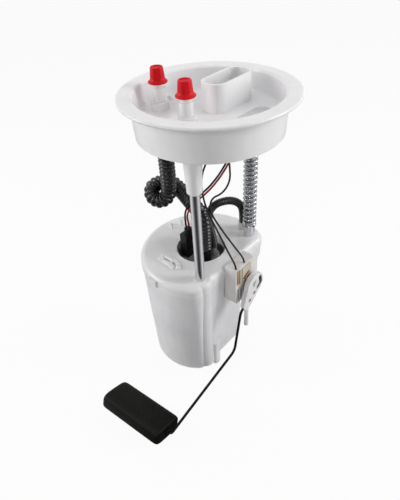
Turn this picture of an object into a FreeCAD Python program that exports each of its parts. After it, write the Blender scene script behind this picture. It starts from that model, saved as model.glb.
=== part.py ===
# In-tank fuel pump module: deep-dish flange with two capped nozzles and a connector socket, two
# guide rods with a spring, a reservoir pot with its electric pump, and a level sender with a float.
# Millimetres. Origin: centre of the flange's seat on the tank, +Z up, +X out of the pot's flat side.
import FreeCAD, Part
import math
import os
import Sketcher

os.makedirs("parts", exist_ok=True)
doc = FreeCAD.newDocument("FuelPumpModule")
Vec = FreeCAD.Vector

# Driving dimensions
sizes = dict(
    # flange
    rimRadius=67.5, rimThick=2.6, rimRound=1.2, lipRound=2.2, skirtTop=58.5, skirtEnd=57.0, skirtDrop=27.3,
    dishRadius=55.5, dishFloorRadius=54.5, floorDrop=15.0, floorThick=3.0, skirtWall=2.6,
    # connector socket
    socketX=-1.2, socketY=22.4, socketWide=21.6, socketLong=45.6, socketCorner=9.0, socketWall=2.0,
    socketTop=6.1, socketFloor=-11.5, bladeWide=2.8, bladeThick=0.8, bladePitch=7.0, bladeTop=1.0,
    leadBlockWide=11.0, leadBlockLong=32.0, leadBlockHigh=14.0, leadSeat=1.5, leadShift=2.0,
    # bare plate on the dish floor
    plateX=31.0, plateY=16.0, plateWide=17.0, plateLong=33.0, plateCorner=7.0, plateThick=0.3,
    # nozzles and their caps
    nozzleOneX=-37.5, nozzleOneY=-14.0, nozzleTwoX=-0.5, nozzleTwoY=-24.0, shankRadius=5.0,
    collarRadius=7.2, collarHigh=6.2, ventX=-44.4, ventY=3.2, ventRadius=2.3, ventBore=1.1, ventHigh=2.4,
    shoulderTop=1.2, spigotRadius=3.95, spigotTop=13.7, nozzleBore=2.5, stubRadius=4.6, stubEnd=-40.0,
    capTop=16.2, capBrim=7.5, capLow=5.5, capHigh=4.8, capFit=0.05, capRecess=1.2,
    # guide rods, bosses, bushes and spring
    rodRadius=4.0, rodAX=18.4, rodAY=-41.3, rodBX=14.0, rodBY=34.8, rodEnd=-18.6, rodFit=0.06,
    bossTop=7.2, bossLow=5.7, bossEnd=-57.4, rearBossRadius=6.2, rearBossEnd=-32.0, rodGrip=24.0,
    frontBushRadius=5.4, frontBushTop=0.6, rearBushRadius=5.0, rearBushTop=10.5, bushEnd=-13.6,
    clipRadius=6.2, clipThick=1.2, clipGroove=0.6, clipGap=0.2,
    springWire=0.95, springMean=5.35, springTurns=24,
    # lid and pot
    potX=-7.6, potY=-6.5, lidRadius=58.6, lidFlat=26.0, lidCorner=12.0, lidTop=-142.4, lidSkirt=10.6,
    lidThick=2.4, lidRound=5.0, openX=-10.0, openY=-7.5, openRadius=22.5, potWall=2.0, lapGap=0.3,
    lidLug=9.8, collarDeep=9.0, collarThick=1.6, clipWall=1.6, clipHigh=3.4, postHigh=6.2,
    waistTop=-21.6, waistLow=-47.6, lowX=-9.0, lowY=-21.0, lowRadius=44.6, lowFlat=24.2,
    footX=-8.5, footY=-20.2, footRadius=43.4, footFlat=22.8, footRound=4.2, potBottom=-114.0,
    columnRadius=8.8, columnEnd=-62.6, legRadius=2.3, legX=21.0, legY=23.5, legEnd=-113.0,
    railY=-32.0, railWide=8.0, railFace=27.6, railTop=-86.6, railEnd=-116.2,
    # pump
    pumpRadius=19.0, caseTop=-25.6, caseEnd=-89.6, capSeat=-11.6, coverEnd=-97.6, caseWall=1.4,
    outletX=-3.3, outletY=-10.2, outletRadius=4.6, outletTop=2.4, portX=-1.8, portY=1.2,
    portRadius=2.4, portTop=-1.6, shaftRadius=1.6, shaftFit=0.05, armatureRadius=12.6, magnetInner=13.2,
    impellerRadius=14.9, chamberRadius=15.2, commutatorRadius=6.0,
    plugX=-22.5, plugY=-11.0, plugTop=12.4, plugWide=13.0, plugDeep=9.0, plugNeck=6.0,
    cradleGap=0.3, cradleWall=2.0, cradleTop=-75.6, strainerTop=-100.6, strainerThick=7.0,
    fitX=3.2, fitY=39.5, fitHigh=7.5, fitBore=2.6,
    # hoses and wires
    hoseRadius=6.95, ribDepth=1.25, ribPitch=3.5, archRadius=3.7, wireRadius=0.65, cuffWall=1.6,
    # level sender
    senderFace=38.0, senderLeft=-17.5, senderRight=11.0, senderTop=1.9, senderEnd=-38.6,
    pivotY=2.0, pivotZ=-20.6, pivotRadius=2.2, pivotFit=0.05, boardThick=1.0, leverBack=41.4,
    leverThick=4.4, leverRadius=11.5, tailY=-9.0, tailZ=-39.6, tailRadius=6.0, armRadius=1.25,
    armPlane=43.6, floatToe=4.4, floatRoll=-18.5, floatLong=67.5, floatWide=31.5, floatThick=16.5,
    floatRound=5.5, floatEdge=2.6, floatGap=3.8, floatFit=0.08, clipWide=3.2, clipLong=1.0, pushGap=0.3,
    armTail=3.2, hookY=8.6, hookTop=-18.4, elbowY=10.4, elbowZ=-24.8, kneeY=-17.3, kneeZ=-45.6,
    shinY=-26.7, shinZ=-91.1, endY=-118.5, endZ=-115.6)

# These heights are given from the lid's top, so that all that hangs on the rods moves with it
hanging = (
    "rodEnd", "frontBushTop", "rearBushTop", "bushEnd", "waistTop", "waistLow", "potBottom", "columnEnd",
    "legEnd", "railTop", "railEnd", "caseTop", "caseEnd", "capSeat", "coverEnd", "outletTop", "portTop",
    "plugTop", "cradleTop", "strainerTop", "senderTop", "senderEnd", "pivotZ", "tailZ", "hookTop", "elbowZ",
    "kneeZ", "shinZ", "endZ")

sheet = doc.addObject("Spreadsheet::Sheet", "Sizes")
for row, (alias, number) in enumerate(sizes.items(), start=1):
    sheet.set("A%d" % row, alias)
    sheet.set("B%d" % row, str(number))
    sheet.setAlias("B%d" % row, alias)
doc.recompute()


class Dim:
    # A length that keeps its number and the sheet formula that gives it.
    def __init__(self, number, text):
        self.number = number
        self.text = text

    def join(self, other, sign, number):
        return Dim(number, "(%s %s %s)" % (self.text, sign, as_dim(other).text))

    def __add__(self, other):
        return self.join(other, "+", self.number + float(other))

    def __sub__(self, other):
        return self.join(other, "-", self.number - float(other))

    def __mul__(self, other):
        return self.join(other, "*", self.number * float(other))

    def __truediv__(self, other):
        return self.join(other, "/", self.number / float(other))

    def __neg__(self):
        return Dim(-self.number, "(0 - %s)" % self.text)

    def __float__(self):
        return float(self.number)


def as_dim(value):
    return value if isinstance(value, Dim) else Dim(value, "%.6g" % value)


class Sizes:
    pass


size = Sizes()
for alias in sizes:
    setattr(size, alias, Dim(sheet.get(alias), "Sizes." + alias))
for alias in hanging:
    setattr(size, alias, size.lidTop + getattr(size, alias))


def bind(thing, name, value):
    # Ties a property of a document object to the sheet.
    value = as_dim(value)
    thing.setExpression(name, value.text)


def base_plane(body, role):
    return [f for f in body.Origin.OriginFeatures if f.Role == role][0]


def new_body(label):
    body = doc.addObject("PartDesign::Body", label)
    body.Label = label
    return body


def new_sketch(body, name, role, offset):
    # A sketch on one of the body's own origin planes, moved by an offset in that plane's axes.
    sketch = body.newObject("Sketcher::SketchObject", name)
    sketch.AttachmentSupport = (base_plane(body, role), [""])
    sketch.MapMode = "FlatFace"
    for axis, value in zip("xyz", offset):
        bind(sketch, "AttachmentOffset.Base." + axis, value)
    return sketch


def tie(sketch, kind, where, value):
    # Adds a dimension to a sketch and ties it to the sheet.
    value = as_dim(value)
    index = sketch.addConstraint(Sketcher.Constraint(kind, *where, value.number))
    bind(sketch, "Constraints[%d]" % index, value)


def polygon(sketch, points):
    # A closed outline of straight edges through dimensioned corners.
    first = sketch.GeometryCount
    count = len(points)
    spots = [Vec(float(x), float(y), 0) for x, y in points]
    for k in range(count):
        sketch.addGeometry(Part.LineSegment(spots[k], spots[(k + 1) % count]), False)
    for k in range(count):
        following = first + (k + 1) % count
        sketch.addConstraint(Sketcher.Constraint("Coincident", first + k, 2, following, 1))
    for k, (x, y) in enumerate(points):
        tie(sketch, "DistanceX", (-1, 1, first + k, 1), x)
        tie(sketch, "DistanceY", (-1, 1, first + k, 1), y)


def circle(sketch, x, y, radius):
    index = sketch.GeometryCount
    sketch.addGeometry(Part.Circle(Vec(float(x), float(y), 0), Vec(0, 0, 1), float(radius)), False)
    tie(sketch, "DistanceX", (-1, 1, index, 3), x)
    tie(sketch, "DistanceY", (-1, 1, index, 3), y)
    tie(sketch, "Radius", (index,), radius)


def rounded_box(sketch, x, y, wide, long, corner):
    # A rectangle with four equal corner arcs, centred at x, y.
    first = sketch.GeometryCount
    cx, cy, r = float(x), float(y), float(corner)
    a, b = float(wide) / 2 - r, float(long) / 2 - r
    turns = [(a, b, 0), (-a, b, 90), (-a, -b, 180), (a, -b, 270)]
    for dx, dy, start in turns:
        ring = Part.Circle(Vec(cx + dx, cy + dy, 0), Vec(0, 0, 1), r)
        arc = Part.ArcOfCircle(ring, math.radians(start), math.radians(start + 90))
        sketch.addGeometry(arc, False)
    for k in range(4):
        dx, dy, start = turns[k]
        ex, ey, other = turns[(k + 1) % 4]
        push = Vec(math.cos(math.radians(start + 90)) * r, math.sin(math.radians(start + 90)) * r, 0)
        line = Part.LineSegment(Vec(cx + dx, cy + dy, 0) + push, Vec(cx + ex, cy + ey, 0) + push)
        sketch.addGeometry(line, False)
    for k in range(4):
        side = first + 4 + k
        sketch.addConstraint(Sketcher.Constraint("Tangent", first + k, 2, side, 1))
        sketch.addConstraint(Sketcher.Constraint("Tangent", side, 2, first + (k + 1) % 4, 1))
        kind = "Horizontal" if k % 2 == 0 else "Vertical"
        sketch.addConstraint(Sketcher.Constraint(kind, side))
    for k in range(1, 4):
        sketch.addConstraint(Sketcher.Constraint("Equal", first, first + k))
    tie(sketch, "Radius", (first,), corner)
    tie(sketch, "DistanceX", (-1, 1, first, 3), as_dim(x) + as_dim(wide) / 2 - corner)
    tie(sketch, "DistanceY", (-1, 1, first, 3), as_dim(y) + as_dim(long) / 2 - corner)
    tie(sketch, "DistanceX", (-1, 1, first + 2, 3), as_dim(x) - as_dim(wide) / 2 + corner)
    tie(sketch, "DistanceY", (-1, 1, first + 2, 3), as_dim(y) - as_dim(long) / 2 + corner)


def flat_round(sketch, x, y, radius, flat, corner):
    # A circle cut by a flat at the +X side, with rounded corners where they meet.
    cx, cy, r, f, c = float(x), float(y), float(radius), float(flat), float(corner)
    reach = math.sqrt((r - c) ** 2 - (f - c - cx) ** 2)
    lean = math.atan2(reach, f - c - cx)
    up, down = Vec(f - c, cy + reach, 0), Vec(f - c, cy - reach, 0)
    axis = Vec(0, 0, 1)
    ring = Part.Circle(Vec(cx, cy, 0), axis, r)
    sketch.addGeometry(Part.ArcOfCircle(ring, lean, 2 * math.pi - lean), False)
    sketch.addGeometry(Part.ArcOfCircle(Part.Circle(down, axis, c), -lean, 0), False)
    sketch.addGeometry(Part.LineSegment(Vec(f, cy - reach, 0), Vec(f, cy + reach, 0)), False)
    sketch.addGeometry(Part.ArcOfCircle(Part.Circle(up, axis, c), 0, lean), False)
    for k in range(4):
        sketch.addConstraint(Sketcher.Constraint("Tangent", k, 2, (k + 1) % 4, 1))
    sketch.addConstraint(Sketcher.Constraint("Vertical", 2))
    sketch.addConstraint(Sketcher.Constraint("Equal", 1, 3))
    tie(sketch, "DistanceX", (-1, 1, 0, 3), x)
    tie(sketch, "DistanceY", (-1, 1, 0, 3), y)
    tie(sketch, "Radius", (0,), radius)
    tie(sketch, "Radius", (1,), corner)
    tie(sketch, "DistanceX", (-1, 1, 2, 1), flat)


def pad(body, name, bottom, height, draw):
    # A prism up from the given height.
    sketch = new_sketch(body, name + "Sketch", "XY_Plane", (0, 0, bottom))
    draw(sketch)
    feature = body.newObject("PartDesign::Pad", name)
    feature.Profile = sketch
    bind(feature, "Length", height)
    return feature


def pocket(body, name, top, depth, draw):
    # A prism cut down from the given height.
    sketch = new_sketch(body, name + "Sketch", "XY_Plane", (0, 0, top))
    draw(sketch)
    feature = body.newObject("PartDesign::Pocket", name)
    feature.Profile = sketch
    bind(feature, "Length", depth)
    return feature


def turn(body, name, x, y, points, cut=False):
    # A turned form about a vertical line; its points are radius and height.
    sketch = new_sketch(body, name + "Sketch", "XZ_Plane", (x, 0, -as_dim(y)))
    polygon(sketch, points)
    feature = body.newObject("PartDesign::Groove" if cut else "PartDesign::Revolution", name)
    feature.Profile = sketch
    feature.ReferenceAxis = (sketch, ["V_Axis"])
    feature.Angle = 360
    return feature


def turned(label, x, y, points):
    body = new_body(label)
    turn(body, label + "Turn", x, y, points)
    return body


def side_pad(body, name, face, depth, draw):
    # A prism along +X from the given face; the sketch's axes are Y and Z.
    sketch = new_sketch(body, name + "Sketch", "YZ_Plane", (0, 0, face))
    draw(sketch)
    feature = body.newObject("PartDesign::Pad", name)
    feature.Profile = sketch
    bind(feature, "Length", depth)
    return feature


def side_pocket(body, name, face, depth, draw):
    # A prism cut along -X from the given face.
    sketch = new_sketch(body, name + "Sketch", "YZ_Plane", (0, 0, face))
    draw(sketch)
    feature = body.newObject("PartDesign::Pocket", name)
    feature.Profile = sketch
    bind(feature, "Length", depth)
    return feature


def plain(label, shape, place=Vec(0, 0, 0)):
    feature = doc.addObject("Part::Feature", label)
    feature.Label = label
    feature.Shape = shape
    feature.Placement = FreeCAD.Placement(place, FreeCAD.Rotation())
    return feature


def facet_solid(rings):
    # A closed solid of flat triangles through rings of points, each ring with the same count.
    around = len(rings[0])
    points = [point for ring in rings for point in ring]
    facets = []
    for row in range(len(rings) - 1):
        for k in range(around):
            a, b = row * around + k, row * around + (k + 1) % around
            facets.append((a, b, b + around))
            facets.append((a, b + around, a + around))
    last = (len(rings) - 1) * around
    for k in range(1, around - 1):
        facets.append((0, k + 1, k))
        facets.append((last, last + k, last + k + 1))
    skin = Part.Shape()
    skin.makeShapeFromMesh((points, facets), 0.001, True)
    solid = Part.makeSolid(skin.Shells[0])
    if solid.Volume < 0:
        solid.reverse()
    return solid


def cord(label, points, sides, step, radius_at):
    # A flexible cord: its line bends smoothly towards hand-picked points, and its radius is given by
    # the number of the station, counted from one end, and the number of stations.
    spots = [Vec(*[float(v) for v in p]) for p in points]
    halfway = [(a + b) * 0.5 for a, b in zip(spots[1:-2], spots[2:-1])]
    joints = [spots[0]] + halfway + [spots[-1]]
    pieces = []
    for start, corner, end in zip(joints, spots[1:-1], joints[1:]):
        curve = Part.BezierCurve()
        curve.setPoles([start, corner, end])
        pieces.append(curve.toShape())
    path = Part.Wire(pieces)
    count = 2 * round(path.Length / step / 2)
    line = path.discretize(Number=count + 1)
    aheads = [spots[1] - spots[0]] + [b - a for a, b in zip(line, line[2:])] + [spots[-1] - spots[-2]]
    side = aheads[0].cross(Vec(0.31, 0.87, 0.38))
    rings = []
    for station, (centre, ahead) in enumerate(zip(line, aheads)):
        ahead.normalize()
        side = side - ahead * side.dot(ahead)
        side.normalize()
        other = ahead.cross(side)
        radius = float(radius_at(station, count))
        ring = []
        for k in range(sides):
            angle = 2 * math.pi * k / sides
            ring.append(centre + side * (radius * math.cos(angle)) + other * (radius * math.sin(angle)))
        rings.append(ring)
    print(label, "length", round(path.Length, 1), "stations", count)
    return plain(label, facet_solid(rings))


# Flange: rim, deep dish, skirt, socket, nozzles and rod bosses in one moulding
s = size
floorLow = -s.floorDrop - s.floorThick
flange = new_body("flange")
turn(flange, "Dish", 0, 0, [
    (0, -s.floorDrop), (s.dishFloorRadius, -s.floorDrop), (s.dishRadius, s.rimThick),
    (s.rimRadius, s.rimThick), (s.rimRadius, 0), (s.skirtTop, 0),
    (s.skirtEnd, -s.skirtDrop), (s.skirtEnd - s.skirtWall, -s.skirtDrop),
    (s.skirtEnd - s.skirtWall, floorLow), (0, floorLow)])
pad(flange, "Socket", -s.floorDrop, s.socketTop + s.floorDrop, lambda k: rounded_box(
    k, s.socketX, s.socketY, s.socketWide, s.socketLong, s.socketCorner))
pocket(flange, "SocketInside", s.socketTop, s.socketTop - s.socketFloor, lambda k: rounded_box(
    k, s.socketX, s.socketY, s.socketWide - s.socketWall * 2, s.socketLong - s.socketWall * 2,
    s.socketCorner - s.socketWall))
for name, x, y in (("One", s.nozzleOneX, s.nozzleOneY), ("Two", s.nozzleTwoX, s.nozzleTwoY)):
    turn(flange, "Nozzle" + name, x, y, [
        (0, floorLow), (s.collarRadius, floorLow), (s.collarRadius, s.collarHigh - s.floorDrop - 0.7),
        (s.collarRadius - 0.7, s.collarHigh - s.floorDrop), (s.shankRadius, s.collarHigh - s.floorDrop),
        (s.shankRadius, s.shoulderTop), (s.spigotRadius, s.shoulderTop),
        (s.spigotRadius, s.spigotTop - 0.8), (s.spigotRadius - 0.8, s.spigotTop), (0, s.spigotTop)])
    turn(flange, "Stub" + name, x, y, [
        (0, floorLow + 1), (s.stubRadius, floorLow + 1), (s.stubRadius, s.stubEnd + 9),
        (s.stubRadius - 0.7, s.stubEnd + 9), (s.stubRadius - 0.7, s.stubEnd + 5),
        (s.stubRadius, s.stubEnd + 5), (s.stubRadius - 1.2, s.stubEnd), (0, s.stubEnd)])
    pocket(flange, "Bore" + name, s.spigotTop, s.spigotTop - s.stubEnd, lambda k, x=x, y=y: circle(
        k, x, y, s.nozzleBore))
turn(flange, "FrontBoss", s.rodAX, s.rodAY, [
    (0, floorLow + 1), (s.bossTop, floorLow + 1), (s.bossTop, floorLow - 4),
    (s.bossLow + 0.2, s.bossEnd + 1.4), (s.bossLow - 1.2, s.bossEnd), (0, s.bossEnd)])
turn(flange, "FrontBossBore", s.rodAX, s.rodAY, [
    (0, s.bossEnd - 1), (s.rodRadius, s.bossEnd - 1), (s.rodRadius, s.bossEnd + s.rodGrip),
    (0, s.bossEnd + s.rodGrip)], cut=True)
turn(flange, "RearBoss", s.rodBX, s.rodBY, [
    (0, floorLow + 1), (s.rearBossRadius, floorLow + 1), (s.rearBossRadius, s.rearBossEnd),
    (0, s.rearBossEnd)])
turn(flange, "RearBossBore", s.rodBX, s.rodBY, [
    (0, s.rearBossEnd - 1), (s.rodRadius, s.rearBossEnd - 1), (s.rodRadius, floorLow),
    (0, floorLow)], cut=True)
turn(flange, "VentPip", s.ventX, s.ventY, [
    (0, -s.floorDrop - 0.5), (s.ventRadius, -s.floorDrop - 0.5),
    (s.ventRadius - 0.4, s.ventHigh - s.floorDrop), (0, s.ventHigh - s.floorDrop)])
pocket(flange, "VentBore", s.ventHigh - s.floorDrop, s.ventHigh + s.floorThick, lambda k: circle(
    k, s.ventX, s.ventY, s.ventBore))
pad(flange, "PlugSeat", floorLow - s.leadSeat, s.leadSeat + 1, lambda k: rounded_box(
    k, s.socketX, s.socketY, s.socketWide - 3, s.socketLong - 6, 5))
doc.recompute()


def edges_at(shape, radius, height):
    # Names of the circular edges with this radius about the Z axis at this height.
    found = []
    for k, edge in enumerate(shape.Edges, start=1):
        curve = edge.Curve
        if isinstance(curve, Part.Circle) and abs(curve.Radius - float(radius)) < 1e-4:
            centre = curve.Center
            if abs(centre.z - float(height)) < 1e-4 and math.hypot(centre.x, centre.y) < 1e-3:
                found.append("Edge%d" % k)
    return found


tip = flange.Tip
rounding = flange.newObject("PartDesign::Fillet", "RimRounding")
rounding.Base = (tip, edges_at(tip.Shape, s.rimRadius, s.rimThick) + edges_at(tip.Shape, s.rimRadius, 0))
bind(rounding, "Radius", s.rimRound)
doc.recompute()
tip = flange.Tip
rounding = flange.newObject("PartDesign::Fillet", "DishRounding")
lipEdges = edges_at(tip.Shape, s.dishRadius, s.rimThick)
floorEdges = edges_at(tip.Shape, s.dishFloorRadius, -s.floorDrop)
rounding.Base = (tip, lipEdges + floorEdges)
bind(rounding, "Radius", s.lipRound)
doc.recompute()

# Socket blades and the lead connector below them
for k in range(4):
    blade = new_body("socket_blade_%d" % (k + 1))
    along = s.socketY + s.bladePitch * (k - 1.5)
    pad(blade, "Blade%d" % k, s.socketFloor, s.bladeTop - s.socketFloor, lambda q, along=along: polygon(q, [
        (s.socketX - s.bladeWide / 2, along - s.bladeThick / 2),
        (s.socketX + s.bladeWide / 2, along - s.bladeThick / 2),
        (s.socketX + s.bladeWide / 2, along + s.bladeThick / 2),
        (s.socketX - s.bladeWide / 2, along + s.bladeThick / 2)]))
leadPlugTop = floorLow - s.leadSeat
leadLow = leadPlugTop - s.leadBlockHigh
leadX, leadY = s.socketX + s.leadShift, s.socketY - s.leadShift
leadPlug = new_body("lead_connector")
pad(leadPlug, "LeadBlock", leadLow, s.leadBlockHigh, lambda k: rounded_box(
    k, leadX, leadY, s.leadBlockWide, s.leadBlockLong, 2))
pad(leadPlug, "LeadCollar", leadLow + 3, 3, lambda k: rounded_box(
    k, leadX, leadY, s.leadBlockWide + 2, s.leadBlockLong + 2, 2.5))

# Bare information plate on the dish floor
plate = new_body("floor_plate")
pad(plate, "Plate", -s.floorDrop, s.plateThick, lambda k: rounded_box(
    k, s.plateX, s.plateY, s.plateWide, s.plateLong, s.plateCorner))

# Red nozzle caps: flared brim, tapering body, sunk top
for name, x, y in (("one", s.nozzleOneX, s.nozzleOneY), ("two", s.nozzleTwoX, s.nozzleTwoY)):
    bore = s.spigotRadius + s.capFit
    turned("nozzle_cap_" + name, x, y, [
        (bore, s.shoulderTop), (s.capBrim - 0.6, s.shoulderTop), (s.capBrim, s.shoulderTop + 0.7),
        (s.capBrim - 0.3, s.shoulderTop + 1.5), (s.capLow, s.shoulderTop + 2.8),
        (s.capHigh, s.capTop), (s.capHigh - 1.1, s.capTop), (s.capHigh - 1.3, s.capTop - s.capRecess),
        (0, s.capTop - s.capRecess), (0, s.spigotTop + 0.3), (bore, s.spigotTop + 0.3)])

# Guide rods with their retaining clips, bushes and the spring
grooveTop = s.bushEnd - s.clipGap
rodTops = (("front", s.rodAX, s.rodAY, s.bossEnd + s.rodGrip), ("rear", s.rodBX, s.rodBY, floorLow))
for name, x, y, top in rodTops:
    turned("guide_rod_" + name, x, y, [
        (0, top), (s.rodRadius, top), (s.rodRadius, grooveTop),
        (s.rodRadius - s.clipGroove, grooveTop), (s.rodRadius - s.clipGroove, grooveTop - s.clipThick),
        (s.rodRadius, grooveTop - s.clipThick), (s.rodRadius, s.rodEnd + 0.8),
        (s.rodRadius - 0.8, s.rodEnd), (0, s.rodEnd)])
    turned("rod_clip_" + name, x, y, [
        (s.rodRadius - s.clipGroove, grooveTop), (s.clipRadius, grooveTop),
        (s.clipRadius, grooveTop - s.clipThick), (s.rodRadius - s.clipGroove, grooveTop - s.clipThick)])
turned("guide_bush_front", s.rodAX, s.rodAY, [
    (s.rodRadius + s.rodFit, s.frontBushTop), (s.frontBushRadius - 0.4, s.frontBushTop),
    (s.frontBushRadius, s.frontBushTop - 0.4), (s.frontBushRadius, s.bushEnd),
    (s.rodRadius + s.rodFit, s.bushEnd)])
turned("guide_bush_rear", s.rodBX, s.rodBY, [
    (s.rodRadius + s.rodFit, s.rearBushTop), (s.rearBushRadius, s.rearBushTop),
    (s.rearBushRadius, s.bushEnd), (s.rodRadius + s.rodFit, s.bushEnd)])

# Coil spring: closed end coils, wider pitch between them, in flat facets round a square wire
wire, mean, turns = float(s.springWire), float(s.springMean), int(float(s.springTurns))
springHigh = float(s.rearBossEnd) - wire
springLow = float(s.rearBushTop) + wire
perTurn = 10
closedTurns, closedPace = 1.5, 0.45


def spring_pace(turn):
    # How fast the wire climbs: slowly over the closed coils, then evenly.
    inward = min(turn, turns - turn)
    return closedPace + (1 - closedPace) * min(max(inward - closedTurns, 0), 1)


climb = [0.0]
for station in range(turns * perTurn):
    climb.append(climb[-1] + (spring_pace(station / perTurn) + spring_pace((station + 1) / perTurn)) / 2)
springRings = []
for station, share in enumerate(climb):
    turnAngle = 2 * math.pi * station / perTurn
    outward = Vec(math.cos(turnAngle), math.sin(turnAngle), 0)
    centre = Vec(float(s.rodBX), float(s.rodBY), springLow + (springHigh - springLow) * share / climb[-1])
    centre = centre + outward * mean
    springRings.append([centre + outward * wire, centre + Vec(0, 0, wire), centre - outward * wire,
                        centre - Vec(0, 0, wire)])
plain("coil_spring", facet_solid(springRings))

# Pot: rounded wall with a flat for the level sender, a waist behind it, rod columns, rail and leg
pot = new_body("pot")
potTop = s.lidTop - s.lidThick


def loft(body, name, sections, cut=False):
    # A ruled form through flat-sided round sections given as height, centre, radius, flat, corner.
    drawn = []
    for k, (height, x, y, radius, flat, corner) in enumerate(sections):
        sketch = new_sketch(body, "%sSection%d" % (name, k), "XY_Plane", (0, 0, height))
        flat_round(sketch, x, y, radius, flat, corner)
        drawn.append(sketch)
    feature = body.newObject("PartDesign::SubtractiveLoft" if cut else "PartDesign::AdditiveLoft", name)
    feature.Profile = drawn[0]
    feature.Sections = drawn[1:]
    feature.Ruled = True
    return feature


lap = s.lidThick + s.lapGap
outerRadius, outerFlat = s.lidRadius - lap, s.lidFlat - lap
skirtLow = s.lidTop - s.lidSkirt
wall = s.potWall
lowCorner = s.lidCorner - 4
pad(pot, "PotOuter", skirtLow, potTop - skirtLow, lambda k: flat_round(
    k, s.potX, s.potY, outerRadius, outerFlat, s.lidCorner))
loft(pot, "PotBelly", [
    (skirtLow, s.potX, s.potY, s.lidRadius - 0.7, s.lidFlat - 0.4, s.lidCorner),
    (s.waistTop, s.potX, s.potY, s.lidRadius - 1.0, s.lidFlat - 0.6, s.lidCorner),
    (s.waistLow, s.lowX, s.lowY, s.lowRadius, s.lowFlat, lowCorner),
    (s.potBottom + s.footRound, s.footX, s.footY, s.footRadius, s.footFlat, lowCorner),
    (s.potBottom + s.footRound * 0.3, s.footX, s.footY, s.footRadius - s.footRound * 0.3,
     s.footFlat - s.footRound * 0.3, lowCorner - 1),
    (s.potBottom, s.footX, s.footY, s.footRadius - s.footRound, s.footFlat - s.footRound, lowCorner - 3)])
turn(pot, "FrontColumn", s.rodAX, s.rodAY, [
    (0, s.potBottom + 1), (s.columnRadius - 2.6, s.potBottom + 1),
    (s.columnRadius, s.potBottom + s.footRound), (s.columnRadius, skirtLow), (0, skirtLow)])
pad(pot, "RearColumn", s.columnEnd, skirtLow - s.columnEnd, lambda k: circle(
    k, s.rodBX, s.rodBY, s.columnRadius))
pad(pot, "RearLeg", s.legEnd, s.waistTop - 8 - s.legEnd, lambda k: circle(
    k, s.legX, s.legY, s.legRadius))
pad(pot, "Rail", s.railEnd, s.railTop - s.railEnd, lambda k: rounded_box(
    k, s.railFace - 3.5, s.railY, 7, s.railWide, 2.4))
pocket(pot, "PotMouth", potTop + 1, potTop + 1 - s.waistTop, lambda k: flat_round(
    k, s.potX, s.potY, outerRadius - wall, outerFlat - wall, s.lidCorner - wall))
floorRound = s.footRound * 0.7
potFloor = s.potBottom + wall
loft(pot, "PotInner", [
    (s.waistTop, s.potX, s.potY, outerRadius - wall, outerFlat - wall, s.lidCorner - wall),
    (s.waistLow + 1.5, s.lowX, s.lowY, s.lowRadius - wall, s.lowFlat - wall, lowCorner - wall),
    (potFloor + floorRound, s.footX, s.footY, s.footRadius - wall, s.footFlat - wall, lowCorner - wall),
    (potFloor, s.footX, s.footY, s.footRadius - wall - floorRound, s.footFlat - wall - floorRound,
     lowCorner - wall - 2)], cut=True)
columnBore = s.columnRadius - 1.8
columnFloor = s.potBottom + s.footRound + 2
pocket(pot, "FrontColumnBore", potTop + 1, potTop + 1 - columnFloor, lambda k: circle(
    k, s.rodAX, s.rodAY, columnBore))
pocket(pot, "RearColumnBore", skirtLow + 1, skirtLow + 2 - s.columnEnd, lambda k: circle(
    k, s.rodBX, s.rodBY, columnBore))

# Lid: flat top with a rounded shoulder, skirt, rod bosses, pump opening, clip and posts
lid = new_body("lid")
pad(lid, "LidSkirt", skirtLow, s.lidTop - skirtLow, lambda k: flat_round(
    k, s.potX, s.potY, s.lidRadius, s.lidFlat, s.lidCorner))
doc.recompute()
skirtFeature = lid.Tip
topEdges = []
for k, edge in enumerate(skirtFeature.Shape.Edges, start=1):
    if all(abs(v.Point.z - float(s.lidTop)) < 1e-4 for v in edge.Vertexes):
        topEdges.append("Edge%d" % k)
shoulder = lid.newObject("PartDesign::Fillet", "LidShoulder")
shoulder.Base = (skirtFeature, topEdges)
bind(shoulder, "Radius", s.lidRound)
turn(lid, "FrontLug", s.rodAX, s.rodAY, [
    (0, skirtLow), (s.lidLug, skirtLow), (s.lidLug, s.lidTop - 3.4), (s.lidLug - 0.7, s.lidTop - 1.6),
    (s.lidLug - 2.2, s.lidTop - 0.4), (s.lidLug - 4.0, s.lidTop), (0, s.lidTop)])
loft(lid, "LidInner", [
    (skirtLow - 1, s.potX, s.potY, s.lidRadius - s.lidThick, s.lidFlat - s.lidThick, s.lidCorner - 1),
    (potTop, s.potX, s.potY, s.lidRadius - s.lidThick, s.lidFlat - s.lidThick, s.lidCorner - 1)], cut=True)
bushes = (("Front", s.rodAX, s.rodAY, s.frontBushRadius), ("Rear", s.rodBX, s.rodBY, s.rearBushRadius))
for name, x, y, bush in bushes:
    pad(lid, name + "Boss", s.bushEnd, s.lidTop - 1 - s.bushEnd, lambda k, x=x, y=y: circle(
        k, x, y, s.columnRadius - 2.1))
    pocket(lid, name + "Bore", s.lidTop + 1, s.lidTop + 2 - s.bushEnd, lambda k, x=x, y=y, bush=bush: circle(
        k, x, y, bush))
pocket(lid, "PumpOpening", s.lidTop + 1, s.lidThick + 3, lambda k: circle(k, s.openX, s.openY, s.openRadius))
turn(lid, "OpeningCollar", s.openX, s.openY, [
    (s.openRadius, s.lidTop), (s.openRadius, s.lidTop - s.collarDeep),
    (s.openRadius + s.collarThick, s.lidTop - s.collarDeep), (s.openRadius + s.collarThick, s.lidTop)])
clipWalls = (
    (-24.6, -38.0, 9.6, s.clipWall), (-14.6, -41.4, s.clipWall, 8.2), (-24.6, -44.6, 9.6, s.clipWall))
for k, walls in enumerate(clipWalls):
    pad(lid, "ClipWall%d" % k, s.lidTop - 1, s.clipHigh, lambda q, walls=walls: rounded_box(q, *walls, 0.5))
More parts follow.
